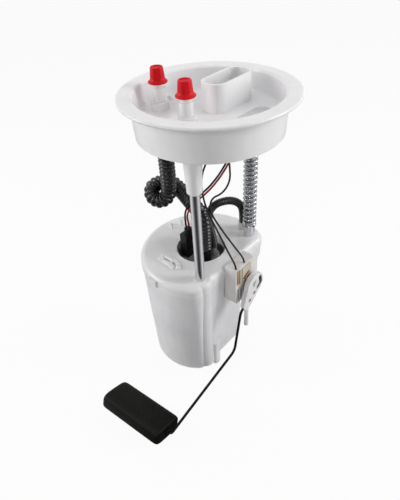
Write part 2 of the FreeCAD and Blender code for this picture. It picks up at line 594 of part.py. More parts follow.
for k, (x, y) in enumerate(((-52.0, -3.0), (-48.0, 7.0))):
    pad(lid, "Post%d" % k, s.lidTop - 1, s.postHigh + 1, lambda q, x=x, y=y: rounded_box(
        q, x, y, 3.0, 1.8, 0.6))
latchY = s.potY - s.lidRadius + 0.7
pad(lid, "EdgeLatch", skirtLow + 1.5, 6.5, lambda q: rounded_box(q, -15.5, latchY, 9, 4, 1))
pocket(lid, "FittingBore", s.lidTop + 1, s.lidThick + 2, lambda q: circle(q, s.fitX, s.fitY, s.fitBore))

# Electric pump, from the top: outlet head, steel case with magnets and rotor, inlet cover, impeller
px, py = s.openX, s.openY
head = new_body("pump_outlet_head")
turn(head, "Head", px, py, [
    (0, s.caseTop - 4), (s.pumpRadius - s.caseWall, s.caseTop - 4), (s.pumpRadius - s.caseWall, s.caseTop),
    (s.pumpRadius, s.caseTop), (s.pumpRadius, s.capSeat - 2), (s.pumpRadius - 2, s.capSeat), (0, s.capSeat)])
turn(head, "Outlet", s.outletX, s.outletY, [
    (0, s.capSeat - 1), (s.outletRadius, s.capSeat - 1), (s.outletRadius, s.outletTop - 5),
    (s.outletRadius - 0.7, s.outletTop - 3), (s.outletRadius, s.outletTop - 3),
    (s.outletRadius - 0.9, s.outletTop), (0, s.outletTop)])
turn(head, "Port", s.portX, s.portY, [
    (0, s.capSeat - 1), (s.portRadius, s.capSeat - 1), (s.portRadius, s.portTop), (0, s.portTop)])
pocket(head, "OutletBore", s.outletTop, 8, lambda q: circle(q, s.outletX, s.outletY, s.nozzleBore))
pocket(head, "ShaftSeat", s.caseTop - 2, 4, lambda q: circle(q, px, py, s.shaftRadius + s.shaftFit))
turned("pump_case", px, py, [
    (s.pumpRadius - s.caseWall, s.caseTop), (s.pumpRadius, s.caseTop), (s.pumpRadius, s.caseEnd),
    (s.pumpRadius - s.caseWall, s.caseEnd)])
coverTop = s.caseEnd + 10
cover = new_body("pump_inlet_cover")
turn(cover, "Cover", px, py, [
    (s.shaftRadius + s.shaftFit, coverTop), (s.pumpRadius - s.caseWall, coverTop),
    (s.pumpRadius - s.caseWall, s.caseEnd), (s.pumpRadius, s.caseEnd), (s.pumpRadius, s.coverEnd + 2),
    (s.pumpRadius - 2, s.coverEnd), (0, s.coverEnd), (0, s.coverEnd + 4), (s.chamberRadius, s.coverEnd + 4),
    (s.chamberRadius, coverTop - 5), (s.shaftRadius + s.shaftFit, coverTop - 5)])
pocket(cover, "Inlet", s.coverEnd + 4, 5, lambda q: circle(q, px + s.pumpRadius / 2, py, 3.0))
inner = s.pumpRadius - s.caseWall
magnetTop, magnetLow = s.caseTop - 10, coverTop + 3
for k, side in enumerate((1, -1)):
    magnet = new_body("pump_magnet_%d" % (k + 1))
    turn(magnet, "Shell%d" % k, px, py, [
        (s.magnetInner, magnetTop), (inner, magnetTop), (inner, magnetLow), (s.magnetInner, magnetLow)])
    reach, gap = s.pumpRadius + 1, s.shaftRadius * 2.5
    pocket(magnet, "Gap%d" % k, magnetTop + 1, magnetTop - magnetLow + 2, lambda q, side=side: polygon(q, [
        (px - reach * side, py - reach * side), (px + reach * side, py - reach * side),
        (px + reach * side, py + gap * side), (px - reach * side, py + gap * side)]))
turned("rotor_shaft", px, py, [
    (0, s.caseTop - 2.5), (s.shaftRadius, s.caseTop - 2.5), (s.shaftRadius, s.coverEnd + 4.4),
    (0, s.coverEnd + 4.4)])
turned("rotor_core", px, py, [
    (s.shaftRadius, magnetTop - 2), (s.armatureRadius, magnetTop - 2), (s.armatureRadius, magnetLow + 2),
    (s.shaftRadius, magnetLow + 2)])
turned("rotor_commutator", px, py, [
    (s.shaftRadius, s.caseTop - 4.5), (s.commutatorRadius, s.caseTop - 4.5),
    (s.commutatorRadius, magnetTop - 2), (s.shaftRadius, magnetTop - 2)])
turned("rotor_impeller", px, py, [
    (s.shaftRadius, coverTop - 5.4), (s.impellerRadius, coverTop - 5.4), (s.impellerRadius, s.coverEnd + 4.4),
    (s.shaftRadius, s.coverEnd + 4.4)])

# Pump connector with its lead boot, standing on the outlet head
plugBody = new_body("pump_connector")
plugFoot = s.capSeat
pad(plugBody, "PlugBlock", plugFoot, s.plugTop - plugFoot, lambda q: rounded_box(
    q, s.plugX, s.plugY, s.plugDeep, s.plugWide, 1.2))
pad(plugBody, "PlugNeck", s.plugTop - 1, s.plugNeck + 1, lambda q: rounded_box(
    q, s.plugX + 1, s.plugY, 5.4, 6.4, 1.6))
plugNeckTop = s.plugTop + s.plugNeck

# Cradle that carries the pump off the pot floor, strainer and inlet valve below it
cradle = new_body("pump_cradle")
cradleInner = s.pumpRadius + s.cradleGap
turn(cradle, "CradleRing", px, py, [
    (cradleInner, s.cradleTop), (cradleInner + s.cradleWall, s.cradleTop),
    (cradleInner + s.cradleWall, s.coverEnd - 1.6), (s.pumpRadius - 3, s.coverEnd - 1.6),
    (s.pumpRadius - 3, s.coverEnd), (cradleInner, s.coverEnd)])
for k in range(3):
    lean = math.radians(90 + 120 * k)
    legX, legY = px + (s.pumpRadius - 1) * math.cos(lean), py + (s.pumpRadius - 1) * math.sin(lean)
    legHigh = s.coverEnd - 1 - potFloor
    pad(cradle, "CradleFoot%d" % k, potFloor, legHigh, lambda q, legX=legX, legY=legY: circle(
        q, legX, legY, 1.9))
strainerLow = s.strainerTop - s.strainerThick
turned("inlet_strainer", px, py, [
    (0, s.strainerTop), (10.5, s.strainerTop), (12.0, s.strainerTop - 1.5), (12.0, strainerLow),
    (10.5, strainerLow - 1), (0, strainerLow - 1)])
turned("strainer_neck", px, py, [
    (2.6, s.coverEnd), (5.0, s.coverEnd), (5.0, s.strainerTop), (2.6, s.strainerTop)])
turned("foot_valve", px + 8, py - 26, [
    (0, potFloor + 1.8), (2.0, potFloor + 1.6), (5.5, potFloor), (0, potFloor)])

# Lid fitting of the short return hose, with its pipe down into the pot
fitTop = s.lidTop + s.fitHigh
turned("return_fitting", s.fitX, s.fitY, [
    (0, fitTop), (3.9, fitTop), (4.6, s.lidTop + 3), (4.6, s.lidTop), (s.fitBore, s.lidTop),
    (s.fitBore, s.lidTop - 14), (0, s.lidTop - 14)])
turned("outlet_cuff", s.outletX, s.outletY, [
    (s.outletRadius, s.outletTop), (s.outletRadius, s.capSeat + 1),
    (s.outletRadius + s.cuffWall, s.capSeat + 1), (s.outletRadius + s.cuffWall, s.outletTop)])
turned("stub_cuff", s.nozzleOneX, s.nozzleOneY, [
    (s.stubRadius, s.stubEnd + 12), (s.hoseRadius - 0.4, s.stubEnd + 12), (s.hoseRadius - 0.4, s.stubEnd),
    (s.stubRadius, s.stubEnd)])

# Hoses: the long ribbed supply hose with its loop, and the short return hose's arch
supplyRoute = [
    (s.nozzleOneX, s.nozzleOneY, s.stubEnd), (s.nozzleOneX, s.nozzleOneY, -62), (-37.5, -14, -84),
    (-36.5, -17.1, -93.2), (-42.1, -22.5, -97.6), (-51, -23.7, -95.3), (-56, -17.9, -90),
    (-53.7, -9.4, -88.4), (-48.1, -0.6, -89.4), (-35.5, -0.2, -96.4), (-17.3, -7.2, -99),
    (-3.2, -10.3, -103), (s.outletX, s.outletY, s.outletTop + 19), (s.outletX, s.outletY, s.outletTop)]
cord("supply_hose", supplyRoute, 12, float(s.ribPitch / 2), lambda station, count: (
    s.hoseRadius if station % 2 else s.hoseRadius - s.ribDepth))
returnRoute = [
    (s.portX, s.portY, s.portTop), (s.portX, s.portY, s.portTop + 18), (-1.9, 1.4, -108), (-1.4, 8, -99),
    (0, 18, -98.5), (1.8, 28.5, -104), (3.0, 36.5, -113), (s.fitX, s.fitY, fitTop + 11),
    (s.fitX, s.fitY, fitTop)]
cord("return_hose", returnRoute, 10, 5.0, lambda station, count: s.archRadius)

# Leads: two to the level sender and a pair to the pump
senderEntry, plugEntry = float(s.senderTop), float(plugNeckTop)
leads = [
    ("sender_lead_black", [
        (0.5, 8, leadLow), (0.5, 8, -37), (-1.2, 3, -46), (-4.2, -1.9, -57), (-3.6, -8.2, -66),
        (2.2, -12.7, -81), (7.2, -11.9, -95.3), (17, -13, -110), (27, -14.2, -126),
        (36.2, -15.0, senderEntry + 4), (36.2, -15.0, senderEntry)]),
    ("sender_lead_grey", [
        (3.5, 14, leadLow), (3.5, 14, -37), (7, 12.4, -46), (10.6, 10.2, -60), (13.2, 7.6, -72),
        (11.6, 1.2, -81.5), (6.9, -7.6, -83.5), (8.6, -11.2, -94.5), (18, -9.4, -109), (27.5, -6.2, -125),
        (36.2, -3.2, senderEntry + 4), (36.2, -3.2, senderEntry)]),
    ("pump_lead_red", [
        (1.5, 29, leadLow), (1.5, 29, -37), (3.6, 30, -48), (4.4, 26, -64), (3, 14, -76), (1.5, -2, -83),
        (-3.2, -18.6, -87), (-10, -20.5, -96), (-18.5, -14.5, -109), (-21.2, -9.8, plugEntry + 5),
        (-21.2, -9.8, plugEntry)]),
    ("pump_lead_black", [
        (-1.5, 26, leadLow), (-1.5, 26, -37), (0.4, 27.6, -48), (1.6, 23.5, -62), (0.6, 12, -73.5),
        (-1.2, -3, -80.5), (-6.2, -19.4, -85), (-12.8, -20, -95), (-20.6, -14.8, -108),
        (-22.4, -12.4, plugEntry + 5), (-22.4, -12.4, plugEntry)])]
for label, route in leads:
    cord(label, route, 6, 5.0, lambda station, count: s.wireRadius)

# Level sender on the pot's flat: base with pivot pin and terminals, resistor board, lever, arm
base = new_body("sender_base")
midY, midZ = (s.senderLeft + s.senderRight) / 2, (s.senderTop + s.senderEnd) / 2
side_pad(base, "BaseBlock", s.lidFlat, s.senderFace - s.lidFlat, lambda q: rounded_box(
    q, midY, midZ, s.senderRight - s.senderLeft, s.senderTop - s.senderEnd, 2.5))
pinLong = s.leverBack + s.leverThick + 2.4 - s.senderFace
side_pad(base, "PivotPin", s.senderFace - 1, pinLong, lambda q: circle(q, s.pivotY, s.pivotZ, s.pivotRadius))
side_pad(base, "PivotStep", s.senderFace - 1, s.leverBack - s.senderFace + 0.7, lambda q: circle(
    q, s.pivotY, s.pivotZ, s.pivotRadius + 2))
pinHead = s.leverBack + s.leverThick + 0.3
side_pad(base, "PinHead", pinHead, 1.1, lambda q: circle(q, s.pivotY, s.pivotZ, s.pivotRadius + 0.9))
for k in range(2):
    side_pocket(base, "Lightening%d" % k, s.senderFace, 4, lambda q, k=k: rounded_box(
        q, s.senderLeft + 4 + k * 4.4, midZ - 10, 2.6, 14, 1.0))
board = new_body("resistor_board")
side_pad(board, "Board", s.senderFace, s.boardThick, lambda q: rounded_box(
    q, s.senderLeft + 15.0, midZ + 6.5, 12, 23, 1.0))
side_pocket(board, "BoardHole", s.senderFace + s.boardThick + 0.5, 3, lambda q: circle(
    q, s.pivotY, s.pivotZ, s.pivotRadius + 2.2))
for k, y in enumerate((-14.6, -12.2)):
    strip = new_body("sender_terminal_%d" % (k + 1))
    side_pad(strip, "Strip%d" % k, s.senderFace, 0.8, lambda q, y=y: rounded_box(
        q, y, s.senderTop - 9.5, 1.5, 16, 0.4))


def tangent_plate(sketch, x1, y1, r1, x2, y2, r2):
    # The outline of two circles joined by their outer tangents.
    ax, ay, bx, by, ra, rb = (float(v) for v in (x1, y1, x2, y2, r1, r2))
    run = math.hypot(bx - ax, by - ay)
    along = math.atan2(by - ay, bx - ax)
    lean = math.acos((ra - rb) / run)
    axis = Vec(0, 0, 1)

    def rim(cx, cy, r, turnAngle):
        return Vec(cx + r * math.cos(turnAngle), cy + r * math.sin(turnAngle), 0)

    left, right = along + lean, along - lean
    big = Part.ArcOfCircle(Part.Circle(Vec(ax, ay, 0), axis, ra), left, right + 2 * math.pi)
    small = Part.ArcOfCircle(Part.Circle(Vec(bx, by, 0), axis, rb), right, left)
    sketch.addGeometry(big, False)
    sketch.addGeometry(Part.LineSegment(rim(ax, ay, ra, right), rim(bx, by, rb, right)), False)
    sketch.addGeometry(small, False)
    sketch.addGeometry(Part.LineSegment(rim(bx, by, rb, left), rim(ax, ay, ra, left)), False)
    for k in range(4):
        sketch.addConstraint(Sketcher.Constraint("Tangent", k, 2, (k + 1) % 4, 1))
    tie(sketch, "Radius", (0,), r1)
    tie(sketch, "Radius", (2,), r2)
    for index, x, y in ((0, x1, y1), (2, x2, y2)):
        tie(sketch, "DistanceX", (-1, 1, index, 3), x)
        tie(sketch, "DistanceY", (-1, 1, index, 3), y)


# Wiper lever: hub and tail joined by tangent flanks, with a channel and windows for the arm wire
leverPlate = new_body("lever_plate")
leverFront = s.leverBack + s.leverThick
side_pad(leverPlate, "LeverPlate", s.leverBack, s.leverThick, lambda q: tangent_plate(
    q, s.pivotY, s.pivotZ - 2, s.leverRadius, s.tailY, s.tailZ, s.tailRadius))
side_pocket(leverPlate, "PivotBore", leverFront + 1, s.leverThick + 2, lambda q: circle(
    q, s.pivotY, s.pivotZ, s.pivotRadius + s.pivotFit))
windowDepth = leverFront + 1 - s.armPlane
windowWide = s.armRadius + 1
side_pocket(leverPlate, "HookWindow", leverFront + 1, windowDepth, lambda q: tangent_plate(
    q, s.hookY, s.hookTop, windowWide, s.elbowY, s.elbowZ, windowWide - 0.1))
side_pocket(leverPlate, "ElbowWindow", leverFront + 1, windowDepth, lambda q: tangent_plate(
    q, s.elbowY, s.elbowZ, windowWide - 0.1, s.elbowY - 5.4, s.elbowZ - 4.1, windowWide - 0.4))
slope = (s.kneeZ - s.elbowZ) / (s.kneeY - s.elbowY)
for k, back in enumerate((9.8, 16.5)):
    side_pocket(leverPlate, "Window%d" % k, leverFront + 1, windowDepth, lambda q, back=back: circle(
        q, s.elbowY - back, s.elbowZ - slope * back, windowWide - 0.5))


def bent_rod(label, points, bends, radius):
    # A round rod along straight runs joined by bends of the given radii.
    spots = [Vec(*[float(v) for v in p]) for p in points]
    edges = []
    start = spots[0]
    for before, corner, after, bend in zip(spots, spots[1:], spots[2:], bends):
        come, leave = corner - before, after - corner
        half = come.getAngle(leave) / 2
        come.normalize()
        leave.normalize()
        trim = bend * math.tan(half)
        enter, exit_ = corner - come * trim, corner + leave * trim
        inward = leave - come
        inward.normalize()
        middle = corner + inward * (bend / math.cos(half) - bend)
        edges.append(Part.LineSegment(start, enter).toShape())
        edges.append(Part.Arc(enter, middle, exit_).toShape())
        start = exit_
    edges.append(Part.LineSegment(start, spots[-1]).toShape())
    path = Part.Wire(edges)
    ring = Part.makeCircle(float(radius), spots[0], spots[1] - spots[0])
    return plain(label, path.makePipeShell([Part.Wire([ring])], True, False))


# Arm wire: hook and run inside the lever, knee, long run, end turned into the float
toe = math.radians(float(s.floatToe))
floatAxis = Vec(-math.cos(toe), -math.sin(toe), 0)
wireEnd = Vec(float(s.armPlane), float(s.endY), float(s.endZ))
armFar = wireEnd + floatAxis * float(s.floatGap + s.floatLong + s.armTail)
armRoute = [
    (s.leverBack, s.hookY, s.hookTop), (s.armPlane, s.hookY, s.hookTop), (s.armPlane, s.elbowY, s.elbowZ),
    (s.armPlane, s.kneeY, s.kneeZ), (s.armPlane, s.shinY, s.shinZ), tuple(wireEnd), tuple(armFar)]
bent_rod("float_arm", armRoute, [1.4, 2.2, 9.0, 9.0, 2.0], s.armRadius)
lever = doc.addObject("Part::Cut", "wiper_lever")
lever.Label = "wiper_lever"
lever.Base = leverPlate
lever.Tool = doc.getObject("float_arm")
contact = new_body("wiper_contact")
contactBack = s.senderFace + s.boardThick + 0.3
side_pad(contact, "Contact", contactBack, s.leverBack - contactBack, lambda q: rounded_box(
    q, s.pivotY - 5.5, s.pivotZ + 5.0, 2.4, 4.0, 0.6))

# Float: rounded block that turns on the wire's end between two push-on clips
turnOver = FreeCAD.Rotation(Vec(0, 0, 1), math.degrees(toe))
floatSpin = turnOver * FreeCAD.Rotation(Vec(1, 0, 0), float(s.floatRoll))
floatCentre = wireEnd + floatAxis * float(s.floatGap + s.floatLong / 2)
block = new_body("float")
side_pad(block, "FloatBlock", -s.floatLong / 2, s.floatLong, lambda q: rounded_box(
    q, 0, 0, s.floatWide, s.floatThick, s.floatRound))
doc.recompute()
blockFeature = block.Tip
endEdges = []
for k, edge in enumerate(blockFeature.Shape.Edges, start=1):
    xs = [v.Point.x for v in edge.Vertexes]
    if max(xs) - min(xs) < 1e-4:
        endEdges.append("Edge%d" % k)
softEnds = block.newObject("PartDesign::Fillet", "FloatEnds")
softEnds.Base = (blockFeature, endEdges)
bind(softEnds, "Radius", s.floatEdge)
side_pocket(block, "FloatBore", s.floatLong / 2 + 1, s.floatLong + 2, lambda q: circle(
    q, 0, 0, s.armRadius + s.floatFit))
block.Placement = FreeCAD.Placement(floatCentre, floatSpin)
clipSpots = (("inner", s.floatLong / 2 + s.pushGap), ("outer", -s.floatLong / 2 - s.pushGap - s.clipLong))
for name, reach in clipSpots:
    ringBody = new_body("float_clip_" + name)
    side_pad(ringBody, "ClipRing" + name, reach, s.clipLong, lambda q: circle(q, 0, 0, s.clipWide))
    side_pocket(ringBody, "ClipBore" + name, reach + s.clipLong + 1, s.clipLong + 2, lambda q: circle(
        q, 0, 0, s.armRadius))
    ringBody.Placement = FreeCAD.Placement(floatCentre, turnOver)

# Check every feature, then write one file for each piece
doc.recompute()
pieces = [o for o in doc.Objects if o.TypeId in ("PartDesign::Body", "Part::Feature", "Part::Cut")]
pieces = [o for o in pieces if o is not leverPlate]
for thing in doc.Objects:
    if "Invalid" in thing.State or "Error" in thing.State:
        raise RuntimeError("%s failed: %s" % (thing.Name, thing.State))
for piece in pieces:
    if piece.Shape.isNull() or not piece.Shape.isValid():
        raise RuntimeError("%s has no valid shape" % piece.Label)
    print(piece.Label, "solids", len(piece.Shape.Solids), "volume", round(piece.Shape.Volume, 1))
for piece in pieces:
    piece.Shape.exportStep("parts/%s.step" % piece.Label)
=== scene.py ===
# Fuel pump module: finer hoses, leads, spring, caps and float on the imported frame, and a finish on every
# piece
import bpy
import math
import numpy as np
from mathutils import Matrix, Vector


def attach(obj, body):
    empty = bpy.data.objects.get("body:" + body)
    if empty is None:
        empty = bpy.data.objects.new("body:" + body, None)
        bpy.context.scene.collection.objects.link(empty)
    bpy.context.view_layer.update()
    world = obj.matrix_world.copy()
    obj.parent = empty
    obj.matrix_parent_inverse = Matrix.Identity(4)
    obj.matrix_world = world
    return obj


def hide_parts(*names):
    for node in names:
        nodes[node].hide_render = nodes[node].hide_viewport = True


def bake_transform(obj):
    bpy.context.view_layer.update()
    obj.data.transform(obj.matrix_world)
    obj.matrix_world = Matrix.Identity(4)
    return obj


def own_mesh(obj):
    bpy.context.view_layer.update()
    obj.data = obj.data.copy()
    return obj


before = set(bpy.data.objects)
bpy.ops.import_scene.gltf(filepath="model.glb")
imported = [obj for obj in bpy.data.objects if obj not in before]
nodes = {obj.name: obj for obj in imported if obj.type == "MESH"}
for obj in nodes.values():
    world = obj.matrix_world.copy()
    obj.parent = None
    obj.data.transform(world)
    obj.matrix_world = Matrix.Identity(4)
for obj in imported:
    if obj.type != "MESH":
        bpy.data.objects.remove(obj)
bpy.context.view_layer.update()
scene = bpy.context.scene
mm = 0.001
print("frame loaded with", len(nodes), "nodes")


# Camera, at the photograph's viewing angle; its place is in mm
cameraSettings = {"place": (208.9, -242.9, 114.1), "aim": (-0.531, 0.567, -0.630), "rollDegrees": -3.62,
                  "focalPixels": 443.4, "frameHigh": 500, "filmHigh": 36.0, "nearest": 0.01}


def makeCamera(chosen):
    # The view axis and a roll about it give the camera's three axes.
    data = bpy.data.cameras.new("camera")
    data.sensor_fit = "VERTICAL"
    data.sensor_height = chosen["filmHigh"]
    data.lens = chosen["focalPixels"] * chosen["filmHigh"] / chosen["frameHigh"]
    data.clip_start = chosen["nearest"]
    forward = Vector(chosen["aim"]).normalized()
    right = forward.cross(Vector((0, 0, 1))).normalized()
    up = right.cross(forward)
    roll = math.radians(chosen["rollDegrees"])
    across = right * math.cos(roll) + up * math.sin(roll)
    upward = up * math.cos(roll) - right * math.sin(roll)
    camera = bpy.data.objects.new("camera", data)
    axes = Matrix((across, upward, -forward)).transposed().to_4x4()
    camera.matrix_world = Matrix.Translation(Vector(chosen["place"]) * mm) @ axes
    scene.collection.objects.link(camera)
    scene.camera = camera


makeCamera(cameraSettings)
print("camera placed")


# Shader maths: a socket that can be used in sums, and one way to add any other node
class Shade:
    def __init__(self, tree, socket):
        self.tree = tree
        self.socket = socket

    def sum(self, operation, first, second):
        return addNode(self.tree, "ShaderNodeMath", {"operation": operation}, {0: first, 1: second})

    def __add__(self, other):
        return self.sum("ADD", self, other)

    def __radd__(self, other):
        return self.sum("ADD", other, self)

    def __sub__(self, other):
        return self.sum("SUBTRACT", self, other)

    def __rsub__(self, other):
        return self.sum("SUBTRACT", other, self)

    def __mul__(self, other):
        return self.sum("MULTIPLY", self, other)

    def __rmul__(self, other):
        return self.sum("MULTIPLY", other, self)

    def __pow__(self, other):
        return self.sum("POWER", self, other)


def addNode(tree, kind, settings, sockets, out=0):
    # Settings are set first, then each socket takes a number, a colour or another node's output.
    node = tree.nodes.new(kind)
    for name, value in settings.items():
        setattr(node, name, value)
    for name, value in sockets.items():
        if isinstance(value, Shade):
            tree.links.new(value.socket, node.inputs[name])
        else:
            node.inputs[name].default_value = value
    return Shade(tree, node.outputs[out])


class Finish:
    # One material: its tree, its object coordinates and its main shader.
    def __init__(self, name):
        self.material = bpy.data.materials.new(name)
        self.material.use_nodes = True
        self.tree = self.material.node_tree
        self.shader = self.tree.nodes["Principled BSDF"]
        self.place = self.node("ShaderNodeTexCoord", {}, {}, "Object")

    def node(self, kind, settings, sockets, out=0):
        return addNode(self.tree, kind, settings, sockets, out)

    def stretched(self, scale):
        return self.node("ShaderNodeMapping", {}, {"Vector": self.place, "Scale": scale})

    def noise(self, scale, detail=3.0, rough=0.55, place=None):
        # Soft random patches; a larger scale gives smaller patches.
        return self.node("ShaderNodeTexNoise", {}, {
            "Vector": place or self.place, "Scale": scale, "Detail": detail, "Roughness": rough})

    def colours(self, mask, first, second):
        return self.node("ShaderNodeMix", {"data_type": "RGBA"}, {
            0: mask, 6: (*first, 1.0), 7: (*second, 1.0)}, 2)

    def band(self, value, low, high):
        # Stretches the part of a value between two limits to 0 to 1.
        return self.node("ShaderNodeMapRange", {"interpolation_type": "SMOOTHSTEP"}, {
            "Value": value, "From Min": low, "From Max": high})

    def bump(self, height, strength, distance):
        return self.node("ShaderNodeBump", {}, {
            "Height": height, "Strength": strength, "Distance": distance})

    def put(self, **inputs):
        # Underscores in a name stand for the spaces of the shader's socket names.
        for name, value in inputs.items():
            socket = self.shader.inputs[name.replace("_", " ")]
            if isinstance(value, Shade):
                self.tree.links.new(value.socket, socket)
            else:
                socket.default_value = value
        return self.material


# Moulded plastic: each pattern's scale, detail and roughness, then its share of the colour, relief and
# gloss
moulded = {"cloud": (38.0, 3.0), "streak": (160.0, 2.0, 0.5), "flow": (1.0, 1.0, 0.12),
           "smear": (70.0, 4.0, 0.65), "fine": (2600.0, 2.0), "smearBand": (0.48, 0.72),
           "shadeBand": (0.36, 0.64), "cloudShare": 0.65, "streakShare": 0.35, "fineHeight": 0.6,
           "cloudHeight": 0.4, "seamTop": 0.4, "seamHeight": 1.4, "smearRough": 0.12, "fineRough": 0.08,
           "relief": 0.0004, "soak": (0.006, 0.006, 0.006), "soakScale": 0.4}


def mouldedFinish(name, light, dark, rough, grain=0.25, soft=0.0, gloss=0.5, seam=None):
    # Slow cloudiness, faint flow streaks along Z, a satin grain and dull handled patches. A seam is the
    # fine raised line that the mould's halves leave, on a plane square to one axis.
    look = Finish(name)
    cloud = look.noise(*moulded["cloud"])
    streak = look.noise(*moulded["streak"], look.stretched(moulded["flow"]))
    smear = look.band(look.noise(*moulded["smear"]), *moulded["smearBand"])
    fine = look.noise(*moulded["fine"])
    shade = cloud * moulded["cloudShare"] + streak * moulded["streakShare"]
    shade = look.band(shade, *moulded["shadeBand"])
    height = fine * moulded["fineHeight"] + cloud * moulded["cloudHeight"]
    if seam:
        axis, place, half = seam
        along = look.node("ShaderNodeSeparateXYZ", {}, {0: look.place}, axis)
        away = look.node("ShaderNodeMath", {"operation": "ABSOLUTE"}, {0: along - place})
        height = height + (1.0 - look.band(away, half * moulded["seamTop"], half)) * moulded["seamHeight"]
    return look.put(
        Base_Color=look.colours(shade, dark, light),
        Roughness=rough + smear * moulded["smearRough"] + (fine - 0.5) * moulded["fineRough"],
        Normal=look.bump(height, grain, moulded["relief"]), Specular_IOR_Level=gloss,
        Subsurface_Weight=soft, Subsurface_Radius=moulded["soak"], Subsurface_Scale=moulded["soakScale"])


# Metal: the fine lines' detail and roughness, the duller spots, and the lines' stretch for each grain
metal = {"line": (2.0, 0.6), "spot": (120.0, 4.0, 0.6), "spotBand": (0.5, 0.75), "lineShare": 0.7,
         "spotShare": 0.3, "lineRough": 0.1, "spotRough": 0.08, "bump": (0.06, 0.0001),
         "drawn": (1.0, 1.0, 40.0), "even": (1.0, 1.0, 1.0)}


def metalFinish(name, light, dark, rough, lines, grain="drawn"):
    # Bare metal: fine lines from grinding or drawing, with duller spots where it was handled.
    look = Finish(name)
    line = look.noise(lines, *metal["line"], look.stretched(metal[grain]))
    spot = look.band(look.noise(*metal["spot"]), *metal["spotBand"])
    return look.put(
        Base_Color=look.colours(line * metal["lineShare"] + spot * metal["spotShare"], light, dark),
        Metallic=1.0, Roughness=rough + line * metal["lineRough"] + spot * metal["spotRough"],
        Normal=look.bump(line, *metal["bump"]))


# Foam: the pores' scale, the rubbed patches, then their share of the colour, gloss and relief
foam = {"pore": 1500.0, "pitBand": (0.05, 0.42), "wear": (55.0, 5.0, 0.7), "wearBand": (0.5, 0.7),
        "wearShare": 0.6, "pitShare": 0.4, "rough": 0.48, "wearRough": 0.12, "pitRough": 0.15,
        "gloss": 0.11, "lump": 300.0, "pitHeight": 0.7, "lumpHeight": 0.5, "bump": (0.35, 0.0003)}


def foamFinish(name, light, dark):
    # Closed-cell foam: tiny open pores between a smooth skin, slightly rubbed in places.
    look = Finish(name)
    pore = look.node("ShaderNodeTexVoronoi", {}, {"Vector": look.place, "Scale": foam["pore"]})
    pit = look.band(pore, *foam["pitBand"])
    wear = look.band(look.noise(*foam["wear"]), *foam["wearBand"])
    height = pit * foam["pitHeight"] + look.noise(foam["lump"]) * foam["lumpHeight"]
    return look.put(
        Base_Color=look.colours(wear * foam["wearShare"] + pit * foam["pitShare"], dark, light),
        Roughness=foam["rough"] - wear * foam["wearRough"] + (1.0 - pit) * foam["pitRough"],
        Specular_IOR_Level=foam["gloss"], Normal=look.bump(height, *foam["bump"]))


# Cloth: the weave's scale, gloss and relief
cloth = {"threads": 420.0, "rough": 0.7, "weaveRough": 0.1, "bump": (0.6, 0.0004)}


def clothFinish(name, light, dark):
    # Woven strainer cloth: threads along two axes, half of the pattern each.
    look = Finish(name)
    warp, weft = [look.node("ShaderNodeTexWave", {"bands_direction": axis}, {
        "Vector": look.place, "Scale": cloth["threads"]}) for axis in "XY"]
    weave = warp * 0.5 + weft * 0.5
    return look.put(Base_Color=look.colours(weave, dark, light),
                    Roughness=cloth["rough"] + weave * cloth["weaveRough"],
                    Normal=look.bump(weave, *cloth["bump"]))


